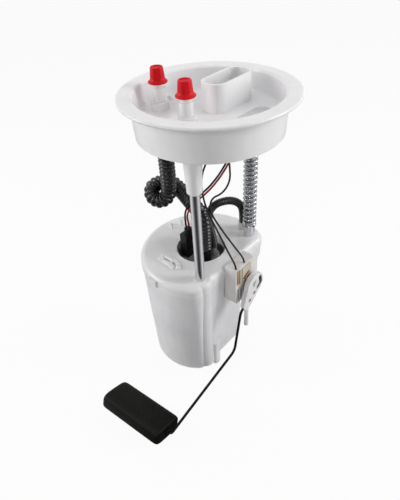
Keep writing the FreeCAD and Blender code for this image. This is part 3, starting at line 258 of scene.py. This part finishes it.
# Each finish: name, light colour, dark colour and roughness, then the grain and what else differs
finishes = {
    "flange": mouldedFinish("flangeWhite", (0.86, 0.855, 0.86), (0.82, 0.815, 0.825), 0.30, 0.2, 0.12),
    "pot": mouldedFinish("potWhite", (0.76, 0.76, 0.77), (0.70, 0.70, 0.72), 0.30, 0.25, 0.12,
                         seam=("Y", 0.0, 0.00035)),
    "lid": mouldedFinish("lidWhite", (0.80, 0.80, 0.80), (0.75, 0.75, 0.755), 0.32, 0.25, 0.12),
    "sender": mouldedFinish("senderWhite", (0.74, 0.72, 0.70), (0.66, 0.64, 0.62), 0.42, 0.3, 0.08),
    "lever": mouldedFinish("leverWhite", (0.80, 0.78, 0.78), (0.73, 0.71, 0.71), 0.36, 0.3, 0.08),
    "patch": mouldedFinish("barePatch", (0.66, 0.66, 0.67), (0.60, 0.60, 0.61), 0.26, 0.1),
    "cap": mouldedFinish("capRed", (0.72, 0.004, 0.012), (0.56, 0.002, 0.008), 0.34, 0.3, gloss=0.16),
    "clear": mouldedFinish("fittingNatural", (0.56, 0.57, 0.54), (0.44, 0.45, 0.43), 0.26, 0.15, 0.3),
    "outlet": mouldedFinish("outletNatural", (0.42, 0.42, 0.39), (0.32, 0.32, 0.30), 0.30, 0.3, 0.1),
    "black": mouldedFinish("mouldedBlack", (0.009, 0.009, 0.010), (0.004, 0.004, 0.005), 0.34, 0.4,
                           gloss=0.22),
    "dark": mouldedFinish("pumpDark", (0.055, 0.056, 0.06), (0.035, 0.036, 0.04), 0.45, 0.4),
    "hose": mouldedFinish("hoseBlack", (0.006, 0.006, 0.006), (0.002, 0.002, 0.002), 0.15, 0.3, gloss=0.42),
    "leadBlack": mouldedFinish("leadBlack", (0.005, 0.005, 0.005), (0.002, 0.002, 0.002), 0.32, 0.2,
                               gloss=0.22),
    "leadGrey": mouldedFinish("leadGrey", (0.012, 0.012, 0.013), (0.007, 0.007, 0.008), 0.34, 0.2,
                              gloss=0.25),
    "leadRed": mouldedFinish("leadRed", (0.42, 0.008, 0.014), (0.30, 0.005, 0.009), 0.34, 0.2, gloss=0.35),
    "rubber": mouldedFinish("valveRubber", (0.05, 0.05, 0.05), (0.03, 0.03, 0.03), 0.6, 0.5),
    "film": mouldedFinish("boardCeramic", (0.58, 0.53, 0.43), (0.48, 0.43, 0.34), 0.32, 0.2),
    "track": mouldedFinish("trackBrown", (0.20, 0.055, 0.035), (0.13, 0.032, 0.02), 0.34, 0.15),
    "rod": metalFinish("rodSteel", (0.72, 0.72, 0.74), (0.58, 0.58, 0.61), 0.12, 90.0),
    "spring": metalFinish("springSteel", (0.46, 0.47, 0.48), (0.26, 0.27, 0.28), 0.22, 700.0, "even"),
    "shell": metalFinish("caseSteel", (0.56, 0.57, 0.58), (0.42, 0.43, 0.44), 0.26, 60.0),
    "magnet": metalFinish("magnetFerrite", (0.16, 0.16, 0.17), (0.10, 0.10, 0.11), 0.55, 500.0, "even"),
    "copper": metalFinish("copperBright", (0.78, 0.44, 0.28), (0.60, 0.32, 0.19), 0.3, 300.0),
    "bronze": metalFinish("contactBronze", (0.62, 0.50, 0.30), (0.44, 0.34, 0.18), 0.26, 500.0, "even"),
    "tin": metalFinish("terminalTin", (0.74, 0.73, 0.70), (0.58, 0.57, 0.54), 0.28, 400.0, "even"),
    "wire": metalFinish("armWire", (0.018, 0.018, 0.019), (0.006, 0.006, 0.006), 0.34, 260.0, "even"),
    "foam": foamFinish("floatFoam", (0.0045, 0.0042, 0.0032), (0.0014, 0.0014, 0.0011)),
    "cloth": clothFinish("strainerCloth", (0.66, 0.66, 0.62), (0.42, 0.42, 0.39))}

finishOf = {
    "flange": ["flange"], "patch": ["floor_plate"], "cap": ["nozzle_cap_one", "nozzle_cap_two"],
    "pot": ["pot"], "lid": ["lid", "guide_bush_front"], "sender": ["sender_base"],
    "lever": ["wiper_lever"], "film": ["resistor_board"], "wire": ["float_arm"], "foam": ["float"],
    "rod": ["guide_rod_front", "guide_rod_rear", "guide_bush_rear", "rotor_shaft"],
    "spring": ["rod_clip_front", "rod_clip_rear", "coil_spring"], "shell": ["pump_case"],
    "magnet": ["pump_magnet_1", "pump_magnet_2", "rotor_core"], "copper": ["rotor_commutator"],
    "bronze": ["wiper_contact", "sender_terminal_1", "sender_terminal_2"],
    "tin": ["socket_blade_1", "socket_blade_2", "socket_blade_3", "socket_blade_4"],
    "outlet": ["pump_outlet_head"], "dark": ["pump_inlet_cover", "rotor_impeller"],
    "black": ["lead_connector", "pump_connector", "pump_cradle", "strainer_neck", "outlet_cuff",
              "stub_cuff", "float_clip_inner", "float_clip_outer"],
    "cloth": ["inlet_strainer"], "rubber": ["foot_valve"], "clear": ["return_fitting"],
    "hose": ["supply_hose", "return_hose"], "leadBlack": ["sender_lead_black", "pump_lead_black"],
    "leadGrey": ["sender_lead_grey"], "leadRed": ["pump_lead_red"]}
for finish, members in finishOf.items():
    for node in members:
        nodes[node].data.materials.clear()
        nodes[node].data.materials.append(finishes[finish])
print("finishes given to", sum(len(members) for members in finishOf.values()), "nodes")


# Surfaces from grids of points, and cords along their own splines
def gridPiece(name, points, finish):
    # Points in rows along the piece and columns round it; each end is closed by one face.
    rows, columns = points.shape[:2]
    row, column = np.meshgrid(np.arange(rows - 1), np.arange(columns), indexing="ij")
    nextRow, nextColumn = row + 1, (column + 1) % columns
    corners = np.stack([row * columns + column, row * columns + nextColumn,
                        nextRow * columns + nextColumn, nextRow * columns + column], -1)
    faces = corners.reshape(-1, 4).tolist()
    faces.append(list(range(columns))[::-1])
    faces.append(list(range((rows - 1) * columns, rows * columns)))
    mesh = bpy.data.meshes.new(name)
    mesh.from_pydata(points.reshape(-1, 3).tolist(), [], faces)
    mesh.polygons.foreach_set("use_smooth", [len(face) == 4 for face in faces])
    mesh.update()
    mesh.materials.append(finishes[finish])
    piece = bpy.data.objects.new(name, mesh)
    scene.collection.objects.link(piece)
    return piece


# Cords: points that the spline is read at between two route points, the fewest stations, and a direction
# that no cord starts along
cordSettings = {"between": 48, "fewest": 8, "aside": (0.31, 0.87, 0.38)}


def splineLine(route, step):
    # The NURBS line of order 3 through a route's control points, read back at even steps along it.
    curve = bpy.data.curves.new("routeLine", "CURVE")
    curve.dimensions = "3D"
    curve.resolution_u = cordSettings["between"]
    spline = curve.splines.new("NURBS")
    spline.points.add(len(route) - 1)
    spline.points.foreach_set("co", np.c_[np.array(route) * mm, np.ones(len(route))].ravel())
    spline.order_u = 3
    spline.use_endpoint_u = True
    holder = bpy.data.objects.new("routeLine", curve)
    scene.collection.objects.link(holder)
    bpy.context.view_layer.update()
    mesh = bpy.data.meshes.new_from_object(holder)
    line = np.empty(len(mesh.vertices) * 3)
    mesh.vertices.foreach_get("co", line)
    line = line.reshape(-1, 3)
    bpy.data.objects.remove(holder)
    bpy.data.meshes.remove(mesh)
    run = np.r_[0, np.cumsum(np.linalg.norm(np.diff(line, axis=0), axis=1))]
    even = np.linspace(0, run[-1], max(cordSettings["fewest"], int(run[-1] / step)))
    return np.stack([np.interp(even, run, line[:, k]) for k in range(3)], -1), even


def carriedAxes(line):
    # Two axes across the line at each station, each turned as little as possible from the one before.
    ahead = np.gradient(line, axis=0)
    ahead /= np.linalg.norm(ahead, axis=1)[:, None]
    side = np.empty_like(ahead)
    current = np.cross(ahead[0], cordSettings["aside"])
    for station, direction in enumerate(ahead):
        current = current - direction * (current @ direction)
        current = current / np.linalg.norm(current)
        side[station] = current
    return side, np.cross(ahead, side)


def ringAcross(side, other, around):
    # A circle of unit radius at each station: cosine times one axis plus sine times the other.
    angle = np.linspace(0, 2 * math.pi, around, endpoint=False)
    return np.cos(angle)[None, :, None] * side[:, None] + np.sin(angle)[None, :, None] * other[:, None]


def cordPiece(name, route, step, around, finish, radiusAt):
    # A tube: circles of the given radius at each distance along the route's line.
    line, distance = splineLine(route, step * mm)
    ring = ringAcross(*carriedAxes(line), around)
    radius = radiusAt(distance / mm, distance[-1] / mm) * mm
    return gridPiece(name, line[:, None] + ring * radius[:, None, None], finish)


def plainCord(radius):
    return lambda distance, length: np.full_like(distance, radius)


def hosePiece(name, chosen):
    # Round ribs between narrow grooves: half a sine over each pitch, raised to a power below one. The ribs
    # are an exact number along the length, so that both ends fall in a groove.
    def radiusAt(distance, length):
        ribs = round(length / chosen["pitch"])
        wave = np.abs(np.sin(distance / length * ribs * math.pi)) ** chosen["valley"]
        return chosen["outer"] - chosen["depth"] * (1.0 - wave)
    return cordPiece(name, chosen["route"], chosen["step"], chosen["around"], "hose", radiusAt)


# Supply hose: deep even ribs, down from the flange's stub, round its loop and over to the pump's outlet
supplyHose = {"step": 0.35, "around": 32, "outer": 6.95, "depth": 1.7, "pitch": 3.5, "valley": 0.7,
              "keep": 0.5,
              "route": [(-37.5, -14, -40), (-37.5, -14, -62), (-37.5, -14, -84), (-36.5, -17.1, -93.2),
                        (-42.1, -22.5, -97.6), (-51, -23.7, -95.3), (-56, -17.9, -90), (-53.7, -9.4, -88.4),
                        (-48.1, -0.6, -89.4), (-35.5, -0.2, -96.4), (-17.3, -7.2, -99), (-3.2, -10.3, -103),
                        (-3.3, -10.2, -121), (-3.3, -10.2, -140)]}
piece = hosePiece("supplyHoseRibbed", supplyHose)
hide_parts("supply_hose")
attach(piece, "flange_head")
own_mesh(piece)

# Return hose: fine shallow ribs over its arch
returnHose = {"step": 0.26, "around": 24, "outer": 3.68, "depth": 0.55, "pitch": 1.9, "valley": 0.8,
              "route": [(-1.8, 1.2, -144), (-2.4, 1.5, -135), (-7, 2.6, -124), (-10.4, 4.4, -113),
                        (-7, 10, -104), (0, 18.5, -101.5), (2, 28.5, -106.5), (3.0, 36.8, -115),
                        (3.2, 39.5, -124.5), (3.2, 39.5, -134.9)]}
piece = hosePiece("returnHoseRibbed", returnHose)
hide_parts("return_hose")
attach(piece, "reservoir")
print("hoses made")

# Leads: round sleeves from the connector under the flange to the sender and the pump
leadMesh = {"step": 1.0, "around": 14}
leads = {
    "sender_lead_black": (0.8, "leadBlack", "lead_black", [
        (0.5, 8, -33.5), (0.5, 8, -37), (-1.2, 3, -46), (-4.2, -1.9, -57), (-4.2, -8.8, -67),
        (0.6, -13.4, -81), (5.6, -13.2, -95.3), (16, -13.6, -110), (27, -14.2, -126), (36.2, -15.0, -136.5),
        (36.2, -15.0, -140.5)]),
    "sender_lead_grey": (0.8, "leadGrey", "lead_grey", [
        (3.5, 14, -33.5), (3.5, 14, -37), (7, 12.4, -46), (10.6, 10.2, -60), (13.2, 7.6, -72),
        (10.6, 0.6, -81.5), (5.4, -8.8, -83.5), (6.8, -12.2, -94.5), (17, -10.2, -109), (27.5, -6.2, -125),
        (36.2, -3.2, -136.5), (36.2, -3.2, -140.5)]),
    "pump_lead_red": (0.85, "leadRed", "lead_red", [
        (1.5, 29, -33.5), (1.5, 29, -37), (3.2, 29, -47), (3.2, 23, -60), (1.6, 11, -72), (-0.4, -4, -81),
        (-4.4, -18.8, -86.5), (-10, -20.5, -96), (-18.5, -14.5, -109), (-21.2, -9.8, -119),
        (-21.2, -9.8, -124)]),
    "pump_lead_black": (0.85, "leadBlack", "lead_black", [
        (-1.5, 26, -33.5), (-1.5, 26, -37), (0.8, 27.6, -47), (1.4, 21.6, -60), (0, 9.6, -71.5),
        (-2, -5.2, -80), (-6.6, -19.4, -85), (-12.8, -20, -95), (-20.6, -14.8, -108), (-22.4, -12.4, -119),
        (-22.4, -12.4, -124)])}
for node, (radius, finish, slot, route) in leads.items():
    piece = cordPiece(node + "_round", route, leadMesh["step"], leadMesh["around"], finish,
                      plainCord(radius))
    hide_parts(node)
    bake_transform(piece)
print("leads made")

# Coil spring: a round wire on a helix, with closed coils at both ends
coil = {"x": 14.0, "y": 34.8, "high": -32.95, "low": -130.95, "mean": 5.35, "wire": 0.95, "turns": 24,
        "perTurn": 26, "around": 10, "closedTurns": 1.5, "closedPace": 0.45, "keep": 0.4995}


def springPoints(chosen):
    # Height rises evenly with the turns, but slowly over the closed coils at the two ends.
    turn = np.linspace(0, chosen["turns"], chosen["turns"] * chosen["perTurn"] + 1)
    closed, last, slow = chosen["closedTurns"], chosen["turns"], chosen["closedPace"]
    pace = np.interp(turn, [0, closed, closed + 1, last - closed - 1, last - closed, last],
                     [slow, slow, 1, 1, slow, slow])
    climb = np.r_[0, np.cumsum((pace[1:] + pace[:-1]) / 2)]
    height = chosen["low"] + (chosen["high"] - chosen["low"]) * climb / climb[-1]
    angle = 2 * math.pi * turn
    radial = np.stack([np.cos(angle), np.sin(angle), np.zeros_like(angle)], -1)
    axis = np.stack([np.full_like(angle, chosen["x"]), np.full_like(angle, chosen["y"]), height], -1)
    line = radial * chosen["mean"] + axis
    ahead = np.gradient(line, axis=0)
    ahead /= np.linalg.norm(ahead, axis=1)[:, None]
    ring = ringAcross(radial, np.cross(ahead, radial), chosen["around"])
    return (line[:, None] + ring * chosen["wire"]) * mm


piece = gridPiece("springCoils", springPoints(coil), "spring")
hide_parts("coil_spring")
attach(piece, "flange_head")
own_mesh(piece)
print("spring made")

# Red caps: turned on their nozzles, with shallow flutes down the body, a flared brim and a sunk top. The
# profile gives radius and height.
caps = {"profile": [(4.05, 4.6), (7.1, 4.6), (7.5, 5.2), (7.4, 5.9), (6.5, 6.5), (5.75, 7.4), (5.55, 8.6),
                    (5.2, 12.4), (4.9, 15.4), (4.6, 16.15), (4.1, 16.2), (3.7, 15.9), (3.5, 15.2),
                    (0.02, 15.1)],
        "cutRounds": 3, "cutShare": 0.25, "around": 96, "flutes": 12, "fluteDeep": 0.16, "fluteSharp": 8,
        "fluteFrom": 7.0, "fluteTo": 15.8, "fluteInner": 4.0,
        "places": [("capOneFluted", "nozzle_cap_one", "cap_one", -37.5, -14.0),
                   ("capTwoFluted", "nozzle_cap_two", "cap_two", -0.5, -24.0)]}


def softened(chosen):
    # Cuts every corner of the profile at a share of its sides, again and again, and keeps its two ends.
    line, share = np.array(chosen["profile"], float), chosen["cutShare"]
    for _ in range(chosen["cutRounds"]):
        near = line[:-1] * (1 - share) + line[1:] * share
        far = line[:-1] * share + line[1:] * (1 - share)
        line = np.concatenate([line[:1], np.stack([near, far], 1).reshape(-1, 2), line[-1:]])
    return line


def turnedPoints(profile, x, y, chosen):
    # Each profile point goes round the axis; the flutes pull the radius in by a high power of a cosine.
    angle = np.linspace(0, 2 * math.pi, chosen["around"], endpoint=False)
    reach, height = profile[:, :1], profile[:, 1:]
    fluted = (height > chosen["fluteFrom"]) & (height < chosen["fluteTo"]) & (reach > chosen["fluteInner"])
    flute = chosen["fluteDeep"] * np.cos(angle * chosen["flutes"] / 2) ** chosen["fluteSharp"]
    radius = reach - fluted * flute
    return np.stack([x + radius * np.cos(angle), y + radius * np.sin(angle),
                     np.repeat(height, chosen["around"], 1)], -1) * mm


for name, node, body, x, y in caps["places"]:
    piece = gridPiece(name, turnedPoints(softened(caps), x, y, caps), "cap")
    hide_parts(node)
    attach(piece, body)
print("caps made")


# Forms with flat sides and round edges
def boxed(wave, power):
    # Keeps the wave's sign and raises its size to two over the power, so that a circle nears a rectangle.
    return np.sign(wave) * np.abs(wave) ** (2 / power)


def endRounding(rows, power, endShare):
    # Places from end to end, and the section's size at each: both raised to the power add up to one.
    share = np.sin(np.linspace(-math.pi / 2, math.pi / 2, rows)) * endShare
    return share, (1 - np.abs(share) ** power) ** (1 / power)


# Float: a loaf of foam along the wire's last run, which turns in by the toe. Its long edges are full and
# round.
floatShape = {"wireEnd": (43.6, -118.5, -258.0), "toe": 4.4, "gap": 3.8, "long": 67.5, "roll": -18.5,
              "half": (15.75, 8.25), "power": 3.8, "endPower": 18.0, "endShare": 0.9995, "rows": 72,
              "around": 96}


def floatPoints(chosen):
    # A rounded rectangle, rolled about the wire, at each place along it.
    share, size = endRounding(chosen["rows"], chosen["endPower"], chosen["endShare"])
    angle = np.linspace(0, 2 * math.pi, chosen["around"], endpoint=False)
    wide = boxed(np.cos(angle), chosen["power"]) * chosen["half"][0]
    thick = boxed(np.sin(angle), chosen["power"]) * chosen["half"][1]
    roll, toe = math.radians(chosen["roll"]), math.radians(chosen["toe"])
    along = (chosen["gap"] + chosen["long"] * (1 - share) / 2)[:, None, None]
    across = (size[:, None] * (wide * math.cos(roll) - thick * math.sin(roll)))[..., None]
    upward = (size[:, None] * (wide * math.sin(roll) + thick * math.cos(roll)))[..., None]
    return (np.array(chosen["wireEnd"]) + along * np.array([-math.cos(toe), -math.sin(toe), 0])
            + across * np.array([-math.sin(toe), math.cos(toe), 0]) + upward * np.array([0, 0, 1])) * mm


piece = gridPiece("floatLoaf", floatPoints(floatShape), "foam")
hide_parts("float")
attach(piece, "float_block")
print("float made")

# Lid clip: four raised rails beside the opening, each given as start, end and width
lidClip = {"rails": [((-29.5, -39.3), (-9.5, -38.6), 4.4), ((-23.5, -44.3), (-8.0, -45.6), 3.8),
                     ((-10.2, -38.2), (-4.2, -44.9), 4.6), ((-29.0, -38.8), (-23.0, -44.8), 3.4)],
           "low": -142.6, "high": 2.8, "power": 4.0, "endShare": 0.999, "rows": 17, "around": 24}


def railPoints(start, end, wide, chosen):
    # A bar between two places on the lid, with a rounded section and rounded ends.
    start, end = np.array(start), np.array(end)
    ahead = (end - start) / np.linalg.norm(end - start)
    aside = np.array([-ahead[1], ahead[0]])
    share, size = endRounding(chosen["rows"], chosen["power"], chosen["endShare"])
    angle = np.linspace(0, 2 * math.pi, chosen["around"], endpoint=False)
    wave = boxed(np.cos(angle), chosen["power"]) * wide / 2
    rise = boxed(np.sin(angle), chosen["power"]) * chosen["high"]
    middle = (start + end) / 2 + share[:, None] * (end - start) / 2
    plan = middle[:, None] + (size[:, None] * wave)[..., None] * aside
    return np.concatenate([plan, (chosen["low"] + size[:, None] * rise)[..., None]], -1) * mm


for number, (start, end, wide) in enumerate(lidClip["rails"]):
    piece = gridPiece("lidClipRail%d" % (number + 1), railPoints(start, end, wide, lidClip), "lid")
    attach(piece, "reservoir")
print("lid clip made")

# Level sender: two resistor tracks swept by the lever's contact. An arc gives its two radii and two angles.
tracks = {"pivotY": 2.0, "pivotZ": -163.0, "face": 39.0, "thick": 0.12,
          "arcs": [(6.4, 8.6, 97, 158), (10.4, 12.8, 95, 142)], "steps": 24}
for number, (inner, outer, first, last) in enumerate(tracks["arcs"]):
    angle = np.radians(np.linspace(first, last, tracks["steps"]))
    corners = [(inner, 0), (inner, tracks["thick"]), (outer, tracks["thick"]), (outer, 0)]
    ring = [np.stack([np.full_like(angle, tracks["face"] + lift), tracks["pivotY"] + reach * np.cos(angle),
                      tracks["pivotZ"] + reach * np.sin(angle)], -1) for reach, lift in corners]
    piece = gridPiece("resistorTrack%d" % (number + 1), np.stack(ring, 1) * mm, "track")
    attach(piece, "reservoir")
print("sender tracks made")

# Arm wire, raised where the lever's windows show it
windowMesh = {"step": 0.5, "around": 20}
windowWires = [("windowWireHook", 1.85, [(43.8, 8.6, -160.6), (43.8, 9.6, -164.0), (43.8, 10.6, -168.0),
                                         (43.8, 7.6, -169.4), (43.8, 4.9, -171.4)]),
               ("windowWireOne", 1.7, [(43.9, 1.8, -173.65), (43.9, 0.6, -174.55), (43.9, -0.6, -175.45)]),
               ("windowWireTwo", 1.7, [(43.9, -4.9, -178.7), (43.9, -6.1, -179.6), (43.9, -7.3, -180.5)])]
for name, radius, route in windowWires:
    piece = cordPiece(name, route, windowMesh["step"], windowMesh["around"], "black", plainCord(radius))
    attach(piece, "lever_arm")
print("window wires made")


# Studio, in metres: a pale floor, a white surround, a soft box at each side, one above and a strip in
# front. A disc on the floor, there for reflections alone, is dark before and behind the object and light at
# its sides.
studio = {"floorHigh": -0.2695, "floorHalf": 8.0, "floorTone": 0.62, "floorRough": 0.9, "ambient": 0.34,
          "whiteShare": 0.94,
          "boxes": [("leftBox", (-0.70, -0.60, 0.26), (0.34, 0.6), 4.7),
                    ("rightBox", (0.72, 0.56, 0.26), (0.34, 0.6), 6.0),
                    ("rearBox", (-0.20, 0.20, 1.10), (0.7, 0.5), 2.6),
                    ("frontStrip", (0.30, -0.98, 0.62), (0.05, 0.22), 1.5)],
          "aim": (0.0, -0.02, -0.12),
          "disc": {"centre": (0.028, -0.043), "inner": 0.001, "outer": 0.9, "lift": 0.0008, "around": 48,
                   "darkAngle": -54.0, "falloff": 3.0, "least": 0.04, "most": 0.86}}
white = (1, 1, 1, 1)


def seenRays(tree):
    # One for the rays that look at the background: the camera's, glossy and transmitted ones.
    path = tree.nodes.new("ShaderNodeLightPath")
    camera, glossy, clear = [Shade(tree, path.outputs["Is %s Ray" % kind])
                             for kind in ("Camera", "Glossy", "Transmission")]
    most = addNode(tree, "ShaderNodeMath", {"operation": "MAXIMUM"}, {0: camera, 1: glossy})
    return addNode(tree, "ShaderNodeMath", {"operation": "MAXIMUM"}, {0: most, 1: clear})


def makeDisc(chosen, floorHigh):
    # Brightness follows a power of the sine of the angle away from the dark direction.
    high = floorHigh + chosen["lift"]
    angle = np.linspace(0, 2 * math.pi, chosen["around"], endpoint=False)
    reach = np.array([chosen["inner"], chosen["outer"]])[:, None]
    middleX, middleY = chosen["centre"]
    points = np.stack([middleX + reach * np.cos(angle), middleY + reach * np.sin(angle),
                       np.full((2, chosen["around"]), high)], -1)
    look = Finish("discShade")
    turn = math.radians(chosen["darkAngle"])
    out = look.node("ShaderNodeVectorMath", {"operation": "SUBTRACT"}, {
        0: look.place, 1: (middleX, middleY, high)})
    out = look.node("ShaderNodeVectorMath", {"operation": "NORMALIZE"}, {0: out})
    aside = look.node("ShaderNodeVectorMath", {"operation": "DOT_PRODUCT"}, {
        0: out, 1: (-math.sin(turn), math.cos(turn), 0.0)}, "Value")
    aside = look.node("ShaderNodeMath", {"operation": "ABSOLUTE"}, {0: aside})
    strength = aside ** chosen["falloff"] * (chosen["most"] - chosen["least"]) + chosen["least"]
    glow = look.node("ShaderNodeEmission", {}, {"Color": white, "Strength": strength})
    look.tree.links.new(glow.socket, look.tree.nodes["Material Output"].inputs["Surface"])
    finishes["disc"] = look.material
    disc = gridPiece("reflectionDisc", points, "disc")
    for rays in ("camera", "diffuse", "transmission", "volume_scatter", "shadow"):
        setattr(disc, "visible_" + rays, False)


def makeFloor(chosen):
    # A large square of paper that the camera sees as nearly white.
    half, high = chosen["floorHalf"], chosen["floorHigh"]
    mesh = bpy.data.meshes.new("floor")
    mesh.from_pydata([(-half, -half, high), (half, -half, high), (half, half, high), (-half, half, high)],
                     [], [(0, 1, 2, 3)])
    paper = Finish("paperFloor")
    paper.put(Base_Color=(*[chosen["floorTone"]] * 3, 1.0), Roughness=chosen["floorRough"])
    glow = paper.node("ShaderNodeEmission", {}, {"Color": white, "Strength": 1.0})
    mixed = paper.node("ShaderNodeMixShader", {}, {
        0: seenRays(paper.tree) * chosen["whiteShare"],
        1: Shade(paper.tree, paper.shader.outputs[0]), 2: glow})
    paper.tree.links.new(mixed.socket, paper.tree.nodes["Material Output"].inputs["Surface"])
    mesh.materials.append(paper.material)
    floor = bpy.data.objects.new("floor", mesh)
    scene.collection.objects.link(floor)


def makeSurround(ambient):
    # Rays that show the background see plain white; every other ray gets the dimmer ambient light.
    world = bpy.data.worlds.new("surround")
    scene.world = world
    world.use_nodes = True
    back = world.node_tree.nodes["Background"]
    strength = seenRays(world.node_tree) * (1.0 - ambient) + ambient
    world.node_tree.links.new(strength.socket, back.inputs["Strength"])
    back.inputs["Color"].default_value = white


def makeLamp(name, place, size, power, aim):
    # A rectangular soft box that faces the aim.
    data = bpy.data.lights.new(name, "AREA")
    data.shape = "RECTANGLE"
    data.size, data.size_y = size
    data.energy = power
    lamp = bpy.data.objects.new(name, data)
    lamp.location = place
    lamp.rotation_euler = (Vector(aim) - Vector(place)).to_track_quat("-Z", "Y").to_euler()
    scene.collection.objects.link(lamp)


makeSurround(studio["ambient"])
makeFloor(studio)
makeDisc(studio["disc"], studio["floorHigh"])
for name, place, size, power in studio["boxes"]:
    makeLamp(name, place, size, power, studio["aim"])
scene.view_settings.view_transform = "Standard"
print("studio lit")
